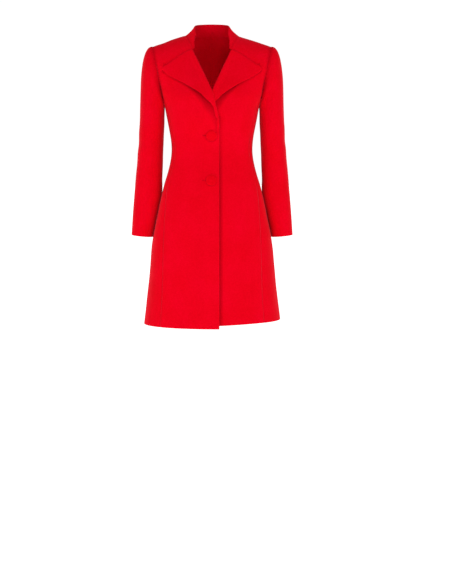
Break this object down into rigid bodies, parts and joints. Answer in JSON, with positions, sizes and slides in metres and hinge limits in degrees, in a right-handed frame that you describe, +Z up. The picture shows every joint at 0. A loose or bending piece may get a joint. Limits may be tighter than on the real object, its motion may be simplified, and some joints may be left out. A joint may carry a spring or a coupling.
{
  "type": "single-breasted wool coat",
  "caption": "Women's knee-length tailored wool coat in its worn shape, with stand collar, wide pointed lapels, covered buttons, A-line skirt and long two-piece sleeves.",
  "frame": {"origin": "middle of the wearer's neck, at the height where the shoulder seams meet the collar, which is where the coat is held up", "axes": "+Z up along the wearer's spine; the coat's front faces -Y; +X is the wearer's left"},
  "size_m": [0.5368, 0.3322, 0.9897],
  "materials": {
    "red_wool": "smooth milled wool coating, slightly felted, matt with a soft nap",
    "covered_button": "the coat's own wool stretched over a domed button form"
  },
  "bodies": {
    "root": {"front_right": "red_wool", "front_left": "red_wool", "side_right": "red_wool", "side_left": "red_wool", "back_right": "red_wool", "back_left": "red_wool", "collar": "red_wool", "lapel_right": "red_wool", "lapel_left": "red_wool", "top_sleeve_right": "red_wool", "top_sleeve_left": "red_wool", "under_sleeve_right": "red_wool", "under_sleeve_left": "red_wool", "button_top": "covered_button", "button_bottom": "covered_button"}
  },
  "joints": []
}
